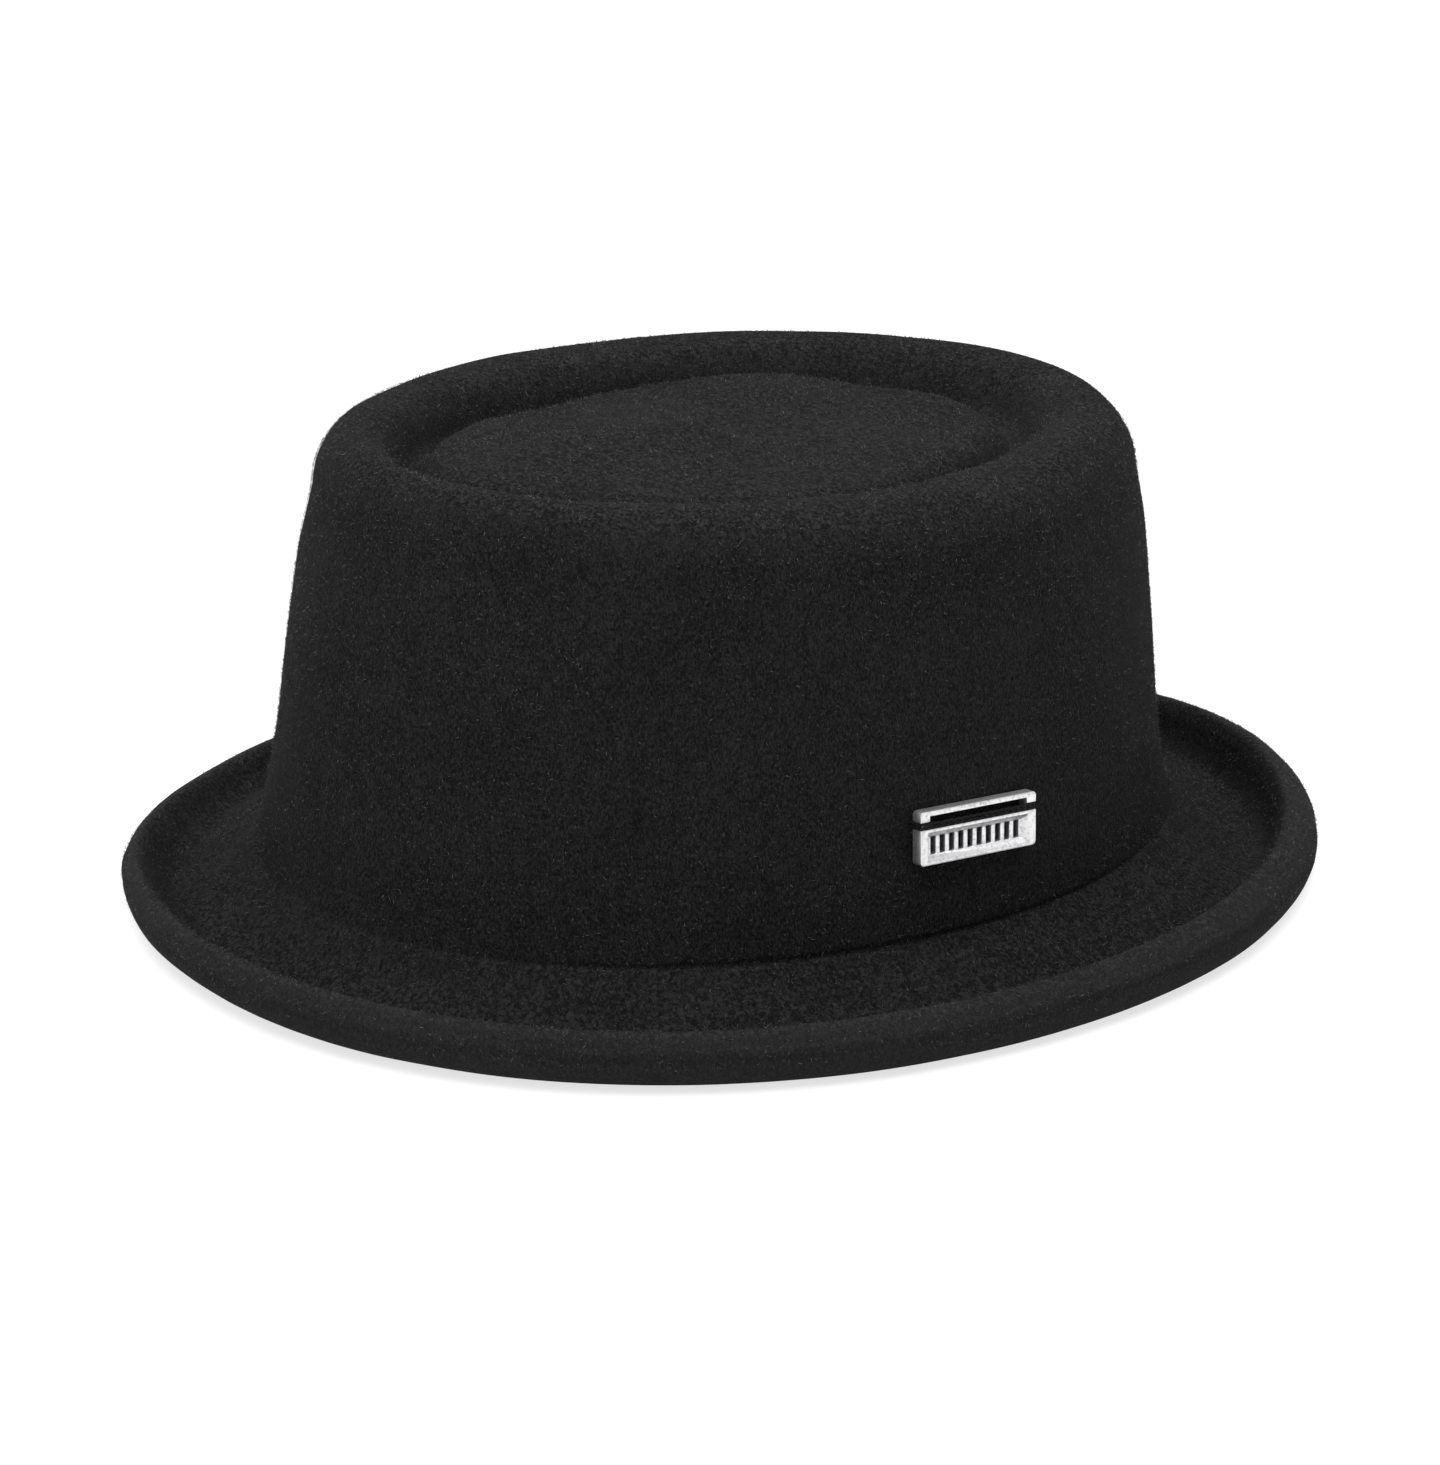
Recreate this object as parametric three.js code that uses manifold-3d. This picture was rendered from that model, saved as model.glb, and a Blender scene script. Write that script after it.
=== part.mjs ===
// Porkpie hat in black wool felt, with a small cast metal badge sewn to the wearer's left side.
// Millimetres, +Z up. The front of the hat faces -Y and the wearer's left is +X.
// The origin lies under the middle of the brim, on the surface that the hat rests on.
import * as THREE from "three";
import { mergeVertices } from "three/addons/utils/BufferGeometryUtils.js";
import Module from "manifold-3d";

// Felt body: driving dimensions, all measured on the outer face
const headLength = 208;
const headWidth = 178.4;
const feltWall = 2.5;
const creaseHeight = 14;
const crownHeight = 90;
const crownTaper = 7.6;
const crownLean = 2.4;
const rimDrop = 13.3;
const rimWidth = 34;
const grooveDepth = 10.5;
const brimWidth = 33.5;
const lipHeight = 13.1;

// How much higher than the sides the hat stands at its front and its back
const crownRise = { front: 4.1, side: 0, back: -1.5 };
const creaseRise = { front: 1.6, side: 0, back: -3 };
const lipRise = { front: 1.1, side: 0, back: 2.7 };

// Roundness of the ovals: 2 is an ellipse, less is more pointed, more is squarer
const headPower = 2;
const crownTopPower = 1.92;
const brimPower = 2.05;

// Badge and cord
const badgeWidth = 31;
const badgeHeight = 11.6;
const badgeThickness = 2.8;
const badgeCorner = 0.9;
const badgeAboveCrease = 22;
const badgeTowardsFront = 2;
const badgeTilt = -2.1;
const windowHeight = 2.8;
const legWidth = 2.5;
const barHeight = 1.1;
const sideBorder = 1.9;
const frameBorder = 0.75;
const recessDepth = 1.3;
const recessBevel = 1.2;
const slotCount = 10;
const slotWidth = 1.4;
const waistHeight = 1.6;
const waistDepth = 0.5;
const cordThickness = 0.8;
const cordSlack = 1;
const gap = 0.3;

// Mesh fineness of the felt, and the distance within which two corners of a mesh are one
const columns = 72;
const weldDistance = 1e-4;

// Each table row is a section ring; its front, side and back values are blended round the head
function table(names, lines) {
  return lines.map((line) => Object.fromEntries(names.map((name, i) => [name, line[i]])));
}

function blend(row, s) {
  const lean = (row.back - row.front) / 2;
  const bow = (row.back + row.front) / 2 - row.side;
  return row.side + lean * s + bow * s * s;
}

// Top of the crown, inward from the shoulder: inset as a share of rimWidth, drop of grooveDepth
const rimRows = table(["front", "side", "back", "drop"], [
  [0.26, 0.41, 0.32, 0.0],
  [0.32, 0.55, 0.40, 0.03],
  [0.37, 0.67, 0.48, 0.12],
  [0.47, 0.79, 0.62, 0.52],
  [0.53, 0.85, 0.70, 0.88],
  [0.59, 0.90, 0.77, 1.0],
  [0.65, 0.94, 0.85, 0.90],
  [0.73, 0.99, 0.93, 0.64],
  [0.82, 1.05, 1.00, 0.49],
]);

// Raised oval island inside the groove: reach from its middle, lift as a share of grooveDepth
const islandRows = table(["reach", "lift"], [
  [0.86, 0.07],
  [0.66, 0.13],
  [0.44, 0.16],
  [0.22, 0.18],
  [0, 0.19],
]);

// Rounded shoulder between wall and rim crest, as angles of a quarter turn
const shoulderTurns = [67.5, 45, 22.5];

// Crown wall: height as a share of the way from crease to shoulder
const wallShares = [1, 0.86, 0.68, 0.5];

// Flare of the wall's foot: outset as a share of brimWidth, height as a share of the wall
const flareRows = table(["front", "side", "back", "height"], [
  [0.000, 0.000, 0.000, 0.32],
  [0.035, 0.000, 0.025, 0.17],
  [0.080, 0.002, 0.065, 0.065],
]);

// Brim from the crease down to the trough: outset of brimWidth, height of the crease above the felt
const slopeRows = table(["front", "side", "back", "height"], [
  [0.14, 0.00, 0.12, 1.0],
  [0.22, 0.14, 0.20, 0.74],
  [0.32, 0.29, 0.31, 0.48],
  [0.45, 0.42, 0.43, 0.24],
  [0.57, 0.52, 0.53, 0.07],
]);

// Upturned lip: outset of brimWidth, height of lipHeight; the rows on the felt start one wall up
const lipRows = table(["front", "side", "back", "height", "felt"], [
  [0.68, 0.62, 0.62, 0.0, 1],
  [0.75, 0.74, 0.72, 0.04, 1],
  [0.79, 0.82, 0.79, 0.24, 1],
  [0.80, 0.82, 0.79, 0.52, 1],
  [0.81, 0.80, 0.77, 0.82, 1],
  [0.86, 0.85, 0.82, 1.0, 1],
  [0.91, 0.92, 0.91, 0.93, 0],
  [0.935, 0.97, 1.00, 0.75, 0],
  [0.94, 1.00, 1.06, 0.49, 0],
  [0.91, 0.97, 1.03, 0.23, 0],
  [0.84, 0.89, 0.95, 0.06, 0],
  [0.78, 0.82, 0.88, 0.0, 0],
  [0.58, 0.56, 0.56, 0.0, 0],
]);

// The brim reaches further at the back than at the front, so the head oval sits forward of its middle
const reachTo = (side) => brimWidth * Math.max(...lipRows.map((row) => row[side]));
const middle = (reachTo("back") - reachTo("front")) / 2;
const wallHeight = crownHeight - rimDrop;
const shoulderHeight = creaseHeight + wallHeight;

// A point of an oval ring: the head oval grown by `out`, `share` of the way in from its middle
function ovalPoint(angle, out, z, power, share = 1) {
  const c = Math.cos(angle);
  const s = Math.sin(angle);
  const x = (headWidth / 2 + out) * Math.sign(c) * Math.abs(c) ** (2 / power);
  const y = (headLength / 2 + out) * Math.sign(s) * Math.abs(s) ** (2 / power);
  return new THREE.Vector3(share * x, share * y - middle, z);
}

const mix = THREE.MathUtils.lerp;

// Inset of the crown wall at a share of its height
function taperAt(share, s) {
  const inset = { front: crownTaper + crownLean, side: crownTaper, back: crownTaper - crownLean };
  return share * blend(inset, s);
}

function crownZ(share, s) {
  return creaseHeight + share * wallHeight + mix(blend(creaseRise, s), blend(crownRise, s), share);
}

function islandRing(angle, row) {
  const s = Math.sin(angle);
  const edge = rimRows[rimRows.length - 1];
  const out = -taperAt(1, s) - rimWidth * blend(edge, s);
  const z = creaseHeight + crownHeight + blend(crownRise, s) + grooveDepth * (row.lift - edge.drop);
  return ovalPoint(angle, out, z, crownTopPower, row.reach);
}

function rimRing(angle, row) {
  const s = Math.sin(angle);
  const out = -taperAt(1, s) - rimWidth * blend(row, s);
  const z = creaseHeight + crownHeight + blend(crownRise, s) - grooveDepth * row.drop;
  return ovalPoint(angle, out, z, crownTopPower);
}

function shoulderRing(angle, turn) {
  const s = Math.sin(angle);
  const t = THREE.MathUtils.degToRad(turn);
  const reach = rimWidth * blend(rimRows[0], s) * (1 - Math.cos(t));
  const z = shoulderHeight + blend(crownRise, s) + rimDrop * Math.sin(t);
  return ovalPoint(angle, -taperAt(1, s) - reach, z, crownTopPower);
}

function wallRing(angle, share) {
  const s = Math.sin(angle);
  return ovalPoint(angle, -taperAt(share, s), crownZ(share, s), mix(headPower, crownTopPower, share));
}

function flareRing(angle, row) {
  const s = Math.sin(angle);
  const out = brimWidth * blend(row, s) - taperAt(row.height, s);
  return ovalPoint(angle, out, crownZ(row.height, s), mix(headPower, crownTopPower, row.height));
}

function slopeRing(angle, row) {
  const s = Math.sin(angle);
  const z = feltWall + row.height * (creaseHeight + blend(creaseRise, s) - feltWall);
  return ovalPoint(angle, brimWidth * blend(row, s), z, mix(brimPower, headPower, row.height));
}

function lipRing(angle, row) {
  const s = Math.sin(angle);
  const foot = row.felt * feltWall;
  const top = lipHeight + blend(lipRise, s) * Math.min(1, 2 * row.height);
  return ovalPoint(angle, brimWidth * blend(row, s), foot + row.height * (top - foot), brimPower);
}

// All section rings of the outer face, from the middle of the crown out to the floor land
const upperRings = [
  ...islandRows.slice(0, -1).reverse().map((row) => (a) => islandRing(a, row)),
  ...[...rimRows].reverse().map((row) => (a) => rimRing(a, row)),
  ...shoulderTurns.map((turn) => (a) => shoulderRing(a, turn)),
  ...wallShares.map((share) => (a) => wallRing(a, share)),
  ...flareRows.map((row) => (a) => flareRing(a, row)),
  ...slopeRows.map((row) => (a) => slopeRing(a, row)),
];
const lipRings = lipRows.map((row) => (a) => lipRing(a, row));

function ringPoints(ring) {
  return Array.from({ length: columns }, (_, j) => ring((j / columns) * 2 * Math.PI));
}

// The inner face: each point of the upper rings moved inward by the felt's thickness
function innerPoints(rings, i, apex) {
  return rings[i].map((point, j) => {
    const before = i === 0 ? apex : rings[i - 1][j];
    const along = rings[i + 1][j].clone().sub(before);
    const around = rings[i][(j + 1) % columns].clone().sub(rings[i][(j + columns - 1) % columns]);
    const inward = around.cross(along).normalize();
    return point.clone().addScaledVector(inward, feltWall);
  });
}

// A closed body through rings of equal count, with a single point at each end
function loftClosed(start, rings, end) {
  const points = [start, ...rings.flat(), end];
  const faces = [];
  const at = (i, j) => 1 + i * columns + (j % columns);
  const last = rings.length - 1;
  for (let j = 0; j < columns; j += 1) {
    faces.push(0, at(0, j), at(0, j + 1));
    faces.push(points.length - 1, at(last, j + 1), at(last, j));
    for (let i = 0; i < last; i += 1) {
      faces.push(at(i, j), at(i + 1, j), at(i + 1, j + 1));
      faces.push(at(i, j), at(i + 1, j + 1), at(i, j + 1));
    }
  }
  const geometry = new THREE.BufferGeometry().setFromPoints(points);
  geometry.setIndex(faces);
  return geometry;
}

function feltGeometry() {
  const upper = upperRings.map(ringPoints);
  const lip = lipRings.map(ringPoints);
  const apex = islandRing(0, islandRows[islandRows.length - 1]);
  const outer = [...upper, ...lip];
  const inner = upper.map((_, i) => innerPoints(outer, i, apex));
  const innerApex = apex.clone().setZ(apex.z - feltWall);
  return loftClosed(apex, [...outer, ...inner.reverse()], innerApex);
}

// Solid joins and cuts
const wasm = await Module();
wasm.setup();

function toSolid(geometry) {
  const bare = geometry.clone();
  bare.deleteAttribute("normal");
  bare.deleteAttribute("uv");
  const merged = mergeVertices(bare, weldDistance);
  const corners = merged.index.array;
  const faces = [];
  for (let i = 0; i < corners.length; i += 3) {
    const [a, b, c] = [corners[i], corners[i + 1], corners[i + 2]];
    if (a !== b && b !== c && c !== a) {
      faces.push(a, b, c);
    }
  }
  return new wasm.Manifold(new wasm.Mesh({
    numProp: 3,
    vertProperties: new Float32Array(merged.attributes.position.array),
    triVerts: new Uint32Array(faces),
  }));
}

function toGeometry(solid) {
  const mesh = solid.getMesh();
  const geometry = new THREE.BufferGeometry();
  geometry.setAttribute("position", new THREE.BufferAttribute(new Float32Array(mesh.vertProperties), 3));
  geometry.setIndex(new THREE.BufferAttribute(new Uint32Array(mesh.triVerts), 1));
  geometry.computeVertexNormals();
  return geometry;
}

// The badge's own frame on the crown wall: X along the hat's side, Y up the wall, Z outward
function badgeFrame() {
  const share = badgeAboveCrease / wallHeight;
  const angle = -badgeTowardsFront / (headLength / 2);
  const step = 0.01;
  const spot = wallRing(angle, share);
  const along = wallRing(angle + step, share).sub(wallRing(angle - step, share)).normalize();
  const rising = wallRing(angle, share + step).sub(wallRing(angle, share - step));
  const outward = along.clone().cross(rising).normalize();
  const up = outward.clone().cross(along);
  const frame = new THREE.Matrix4().makeBasis(along, up, outward);
  frame.multiply(new THREE.Matrix4().makeRotationZ(THREE.MathUtils.degToRad(badgeTilt)));
  frame.setPosition(spot.addScaledVector(outward, gap));
  return frame;
}

// A slab with rounded corners, standing on Z = 0
function roundedSlab(width, height, depth, radius) {
  const shape = new THREE.Shape();
  const x = width / 2 - radius;
  const y = height / 2 - radius;
  const quarter = Math.PI / 2;
  shape.absarc(x, -y, radius, -quarter, 0);
  shape.absarc(x, y, radius, 0, quarter);
  shape.absarc(-x, y, radius, quarter, 2 * quarter);
  shape.absarc(-x, -y, radius, 2 * quarter, 3 * quarter);
  return new THREE.ExtrudeGeometry(shape, { depth, bevelEnabled: false, curveSegments: 3 });
}

// A box centred on a point, as a tool that cuts another solid
function cutter(width, height, depth, x, y, z) {
  return toSolid(new THREE.BoxGeometry(width, height, depth).translate(x, y, z));
}

// Heights inside the badge, measured from its middle
const windowTop = badgeHeight / 2 - barHeight;
const panelTop = windowTop - windowHeight;
const waistMiddle = panelTop + waistHeight / 2;
const panelHeight = panelTop + badgeHeight / 2;
const panelMiddle = (panelTop - badgeHeight / 2) / 2;
const windowWidth = badgeWidth - 2 * legWidth;
const recessWidth = badgeWidth - 2 * sideBorder;
const recessHeight = panelHeight - 2 * frameBorder;
const floorWidth = recessWidth - 2 * recessBevel;
const slotHeight = recessHeight - 2 * recessBevel;
const slotPitch = floorWidth / slotCount;

// The sunk field of the panel: a box whose four sides lean in towards its floor
function recessGeometry() {
  const geometry = new THREE.BoxGeometry(1, 1, recessDepth + gap);
  const position = geometry.attributes.position;
  const grow = recessBevel * (1 + gap / recessDepth);
  for (let i = 0; i < position.count; i += 1) {
    const top = position.getZ(i) > 0;
    const width = top ? floorWidth + 2 * grow : floorWidth;
    const height = top ? slotHeight + 2 * grow : slotHeight;
    position.setX(i, Math.sign(position.getX(i)) * width / 2);
    position.setY(i, Math.sign(position.getY(i)) * height / 2);
  }
  const z = badgeThickness - recessDepth + (recessDepth + gap) / 2;
  return geometry.translate(0, panelMiddle, z);
}

function badgeGeometry() {
  const through = 3 * badgeThickness;
  const windowMiddle = (windowTop + panelTop) / 2;
  let solid = toSolid(roundedSlab(badgeWidth, badgeHeight, badgeThickness, badgeCorner));
  solid = solid.subtract(cutter(windowWidth, windowHeight, through, 0, windowMiddle, 0));
  solid = solid.subtract(toSolid(recessGeometry()));
  for (let i = 0; i < slotCount; i += 1) {
    const x = (i - (slotCount - 1) / 2) * slotPitch;
    solid = solid.subtract(cutter(slotWidth, slotHeight, through, x, panelMiddle, 0));
  }
  for (const side of [-1, 1]) {
    const edge = side * badgeWidth / 2;
    solid = solid.subtract(cutter(2 * waistDepth, waistHeight, through, edge, waistMiddle, 0));
    const leg = side * (badgeWidth - legWidth) / 2;
    const face = badgeThickness;
    solid = solid.subtract(cutter(2 * legWidth, waistHeight, 2 * waistDepth, leg, waistMiddle, face));
  }
  return toGeometry(solid);
}

// Cord: a closed loop over the badge's waist, through the felt on both sides and across inside
const sideRadius = headLength ** 2 / (2 * headWidth);
const sagBehindBadge = (badgeWidth / 2) ** 2 / (2 * sideRadius);
const loopInner = badgeWidth / 2 - waistDepth + gap;
const loopTop = badgeThickness - waistDepth + gap + cordThickness;
const loopBottom = -(2 * gap + sagBehindBadge + feltWall + cordThickness + cordSlack);
const cordHeight = waistHeight - 2 * gap;

function cordGeometry() {
  const depth = loopTop - loopBottom;
  const width = 2 * (loopInner + cordThickness);
  const slab = roundedSlab(width, depth, cordHeight, cordThickness / 2);
  slab.rotateX(Math.PI / 2);
  slab.translate(0, waistMiddle + cordHeight / 2, (loopTop + loopBottom) / 2);
  const inside = depth - 2 * cordThickness;
  const hollow = cutter(2 * loopInner, 2 * cordHeight, inside, 0, waistMiddle, (loopTop + loopBottom) / 2);
  return toGeometry(toSolid(slab).subtract(hollow));
}

// The two holes that the cord passes through, with clearance all round
function cordHole(side) {
  const width = cordThickness + 2 * gap;
  const height = cordHeight + 2 * gap;
  const depth = badgeThickness - loopBottom;
  const hole = new THREE.BoxGeometry(width, height, depth);
  const x = side * (loopInner + cordThickness / 2);
  return hole.translate(x, waistMiddle, (badgeThickness + loopBottom) / 2);
}

// Materials
const blackFelt = new THREE.MeshStandardMaterial({ color: 0x232325, roughness: 0.96, metalness: 0 });
const brightMetal = new THREE.MeshStandardMaterial({ color: 0xd9dadb, roughness: 0.25, metalness: 1 });
const blackCord = new THREE.MeshStandardMaterial({ color: 0x161617, roughness: 0.85, metalness: 0 });

function addPiece(parent, name, geometry, material) {
  const mesh = new THREE.Mesh(geometry, material);
  mesh.name = name;
  parent.add(mesh);
}

const frame = badgeFrame();
const hat = new THREE.Group();
let felt = toSolid(feltGeometry());
for (const side of [-1, 1]) {
  felt = felt.subtract(toSolid(cordHole(side).applyMatrix4(frame)));
}
addPiece(hat, "felt_body", toGeometry(felt), blackFelt);

const badgeGroup = new THREE.Group();
badgeGroup.applyMatrix4(frame);
addPiece(badgeGroup, "badge", badgeGeometry(), brightMetal);
addPiece(badgeGroup, "badge_cord", cordGeometry(), blackCord);
hat.add(badgeGroup);

export default hat;
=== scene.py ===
"""Porkpie hat in black wool felt, with a small cast badge sewn to the wearer's left side.

Laid out as an add-on: property groups hold the sizes and colours, each operator makes one piece or
group of like pieces, and a sidebar panel lists them. Metres, +Z up, the front of the hat faces -Y.
"""
import math

import bmesh
import bpy
import numpy as np
from bpy.props import FloatProperty, FloatVectorProperty, IntProperty, PointerProperty
from mathutils import Matrix, Vector, noise


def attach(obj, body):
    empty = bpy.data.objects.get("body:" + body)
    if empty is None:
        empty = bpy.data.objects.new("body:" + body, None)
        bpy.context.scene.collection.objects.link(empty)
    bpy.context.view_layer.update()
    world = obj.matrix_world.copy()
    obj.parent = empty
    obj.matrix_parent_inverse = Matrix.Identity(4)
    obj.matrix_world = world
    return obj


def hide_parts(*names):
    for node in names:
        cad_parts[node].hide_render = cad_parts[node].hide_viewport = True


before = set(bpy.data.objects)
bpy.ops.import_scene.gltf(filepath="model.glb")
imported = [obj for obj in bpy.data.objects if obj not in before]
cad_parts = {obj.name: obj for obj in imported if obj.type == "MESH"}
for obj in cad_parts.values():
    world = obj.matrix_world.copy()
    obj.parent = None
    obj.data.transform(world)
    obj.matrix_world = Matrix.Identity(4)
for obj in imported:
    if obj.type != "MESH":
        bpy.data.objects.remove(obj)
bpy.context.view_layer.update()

bl_info = {
    "name": "Porkpie Hat",
    "version": (1, 0, 0),
    "blender": (4, 5, 0),
    "location": "3D View > Sidebar > Porkpie Hat",
    "description": "Builds a wool felt porkpie hat and its badge round the packed solids",
    "category": "Object",
}

MM = 0.001


def linear(code):
    """An sRGB hex colour, such as "1d1d1e", as linear red, green, blue and alpha"""
    def channel(digits):
        value = int(digits, 16) / 255
        return value / 12.92 if value <= 0.04045 else ((value + 0.055) / 1.055) ** 2.4
    return tuple(channel(code[i:i + 2]) for i in (0, 2, 4)) + (1.0,)


def length(name, description, millimetres):
    """A property for one length, given in millimetres and kept in metres"""
    return FloatProperty(name=name, description=description, default=millimetres * MM, min=0,
                         unit="LENGTH")


def angle(name, description, degrees):
    """A property for one angle, given in degrees and kept in radians"""
    return FloatProperty(name=name, description=description, default=math.radians(degrees),
                         unit="ROTATION")


def share(name, description, default):
    """A property for a share or strength without a unit"""
    return FloatProperty(name=name, description=description, default=default, min=0)


def number(name, description, default):
    """A property for a whole number of copies"""
    return IntProperty(name=name, description=description, default=default, min=1)


def colour(name, description, code):
    """A property for a colour, given as sRGB hex"""
    return FloatVectorProperty(name=name, description=description, default=linear(code), size=4,
                               subtype="COLOR", min=0, max=1)


class PorkpieFelt(bpy.types.PropertyGroup):
    """Sizes of the felt body, measured on its outer face, and its colours"""
    head_length: length("Head length", "Length of the crown's oval at the crease", 208)
    head_width: length("Head width", "Width of the crown's oval at the crease", 178.4)
    wall: length("Felt wall", "Thickness of the felt", 2.5)
    crease_height: length("Crease height", "Height of the crease at the sides", 14)
    crown_height: length("Crown height", "From the crease up to the rim of the crown, at the sides", 90)
    crown_taper: length("Crown taper", "How far the crown's wall leans in by its top", 7.6)
    crown_lean: length("Crown lean", "Extra lean of the front, taken off the back", 2.4)
    rim_drop: length("Rim drop", "Height of the rounded shoulder under the rim's crest", 13.3)
    rim_width: length("Rim width", "Width of the pressed rim from the wall in to the island", 34)
    groove_depth: length("Groove depth", "Depth of the groove round the raised island", 10.5)
    brim_width: length("Brim width", "From the crease out to the brim's widest line, at the sides", 33.5)
    lip_height: length("Lip height", "Height of the upturned lip", 13.1)
    lip_dip: length("Lip dip", "How much lower the soft lip stands over the wearer's right side", 5.3)
    columns: IntProperty(name="Columns", description="Points round the head", default=288, min=24)
    dark: colour("Dark wool", "Colour of the felt between its fibres", "0e0e0e")
    light: colour("Light wool", "Colour of the felt's raised fibres", "242424")
    # The lip's paleness is painted light: its colour is made paler to stand in for the light on its
    # upturned face, not a paler wool
    lip_painted_light: share("Lip painted light", "How much paler the rubbed lip is than the rest", 1.35)


class PorkpieNap(bpy.types.PropertyGroup):
    """Loose fibres that stand out of the felt's face"""
    fibre_length: length("Fibre length", "Longest loose fibre", 1.0)
    fibre_width: length("Fibre width", "Thickness of a fibre at its root", 0.13)
    wall_count: number("Wall fibres", "Fibres on the crown's wall", 46000)
    top_count: number("Top fibres", "Fibres on the crown's top", 46000)
    brim_count: number("Brim fibres", "Fibres on the brim", 46000)
    seed: IntProperty(name="Seed", description="Seed of the fibres' places", default=7)
    mat: colour("Dull fibre", "Colour of most loose fibres", "0f0f0f")
    glint: colour("Bright fibre", "Colour of the few fibres that catch the light", "646465")


class PorkpieBadge(bpy.types.PropertyGroup):
    """Sizes of the cast badge and where it sits on the crown"""
    width: length("Width", "Width of the badge", 31)
    height: length("Height", "Height of the badge", 11.6)
    thickness: length("Thickness", "Thickness of the casting", 2.8)
    corner: length("Corner radius", "Radius of the badge's corners", 0.9)
    above_crease: length("Above the crease", "Height of the badge's middle over the crease", 22)
    towards_front: length("Towards the front", "How far the badge sits in front of the middle", 2)
    tilt: angle("Tilt", "Turn of the badge in its own plane", -2.1)
    bar: length("Top bar", "Height of the bar over the window", 1.1)
    window: length("Window height", "Height of the window under the bar", 2.8)
    leg: length("Leg width", "Width of the legs beside the window", 2.5)
    side_border: length("Side border", "Flat border at the panel's sides", 1.9)
    border: length("Border", "Flat border over and under the panel's field", 0.75)
    recess: length("Recess", "Depth of the panel's sunk field", 1.3)
    bevel: length("Recess bevel", "Width of the field's sloping sides", 1.2)
    slots: number("Slots", "Upright slots pierced through the field", 10)
    slot: length("Slot width", "Width of one slot", 1.4)
    waist: length("Waist height", "Height of the notch that holds the cord", 1.6)
    waist_depth: length("Waist depth", "Depth of the notch that holds the cord", 0.5)
    edge: length("Edge radius", "Rounding of the casting's edges", 0.14)
    gap: length("Gap", "Clearance between the badge and the felt", 0.3)
    metal: colour("Metal", "Colour of the plating", "e6e6e7")
    tarnish: colour("Tarnish", "Colour of the plating's dull spots", "bcbcbe")


class PorkpieCord(bpy.types.PropertyGroup):
    """The twisted cord that holds the badge, laid round it twice"""
    strand: length("Strand", "Thickness of one of the cord's two strands", 0.36)
    turns: number("Turns", "Twists along the whole loop", 22)
    gap: length("Gap", "Clearance between the cord and the badge", 0.02)
    slack: length("Slack", "Clearance inside the hat", 1)
    bend: length("Bend", "Radius of the loop's corners", 0.75)
    cord: colour("Cord", "Colour of the cord's raised filaments", "0d0d0e")
    shade: colour("Shade", "Colour between the cord's filaments", "050505")


class PorkpieStage(bpy.types.PropertyGroup):
    """Camera, lights and floor, as the photograph has them"""
    azimuth: angle("Azimuth", "Camera's turn from the front towards the wearer's left", 52)
    elevation: angle("Elevation", "Camera's height as an angle", 19.88)
    roll: angle("Roll", "Camera's roll", 0.16)
    distance: length("Distance", "From the camera to its target", 1083.87)
    target_height: length("Target height", "Height of the camera's target", 31.42)
    lens: FloatProperty(name="Lens", description="Focal length in millimetres", default=119.8)
    floor: colour("Floor", "Colour of the shooting table", "9a9a9a")
    glow: share("Table glow", "Light that comes up through the shooting table", 0.7)
    sky: share("Sky", "Strength of the even light from all round", 0.65)
    top: share("Top light", "Power of the soft light overhead", 50)
    front: share("Front light", "Power of the soft light in front", 5)


def table(names, rows):
    """Rows of numbers as dictionaries by column name"""
    return [dict(zip(names.split(), row)) for row in rows]


# How much higher than its sides the hat stands at its front and its back
CROWN_RISE = {"front": 4.1 * MM, "side": 0, "back": -1.5 * MM}
CREASE_RISE = {"front": 1.6 * MM, "side": 0, "back": -3 * MM}
LIP_RISE = {"front": 0.5 * MM, "side": 0, "back": 1.3 * MM}

# How far the crown's wall swells half way up; not at the sides, where the badge lies against it
CROWN_BOW = {"front": 2.2 * MM, "side": 0, "back": 2.0 * MM}

# Where the lip stands lower: angle from the wearer's left, and how widely
LIP_DIP_ANGLE = math.radians(161)
LIP_DIP_SPREAD = 0.68

# Roundness of the ovals: 2 is an ellipse, less is more pointed, more is squarer
HEAD_POWER = 2
CROWN_TOP_POWER = 1.92
BRIM_POWER = 2.05

# Raised island: reach from its middle as a share, lift as a share of the groove's depth
ISLAND_MIDDLE_LIFT = 0.19
ISLAND_ROWS = table("reach lift", [
    (0.12, 0.187),
    (0.22, 0.18),
    (0.44, 0.16),
    (0.66, 0.13),
    (0.86, 0.07),
])

# Rim, from the island out to the crest: inset as a share of the rim's width, drop of the groove's depth
RIM_ROWS = table("front side back drop", [
    (0.82, 1.05, 1.00, 0.49),
    (0.73, 0.99, 0.93, 0.64),
    (0.65, 0.94, 0.85, 0.90),
    (0.59, 0.90, 0.77, 1.0),
    (0.53, 0.85, 0.70, 0.88),
    (0.47, 0.79, 0.62, 0.52),
    (0.37, 0.67, 0.48, 0.12),
    (0.32, 0.55, 0.40, 0.03),
    (0.26, 0.41, 0.32, 0.0),
])

# Rounded shoulder from the crest out to the wall, in degrees of a quarter turn
SHOULDER_TURNS = (67.5, 45, 22.5)

# Crown wall, as shares of the way up from the crease
WALL_SHARES = (1, 0.86, 0.68, 0.5)

# Flare of the wall's foot: outset as a share of the brim's width, height as a share of the wall
FLARE_ROWS = table("front side back height", [
    (0.000, 0.000, 0.000, 0.32),
    (0.035, 0.000, 0.025, 0.17),
    (0.080, 0.002, 0.065, 0.065),
    (0.114, 0.001, 0.095, 0.022),
])

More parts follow.
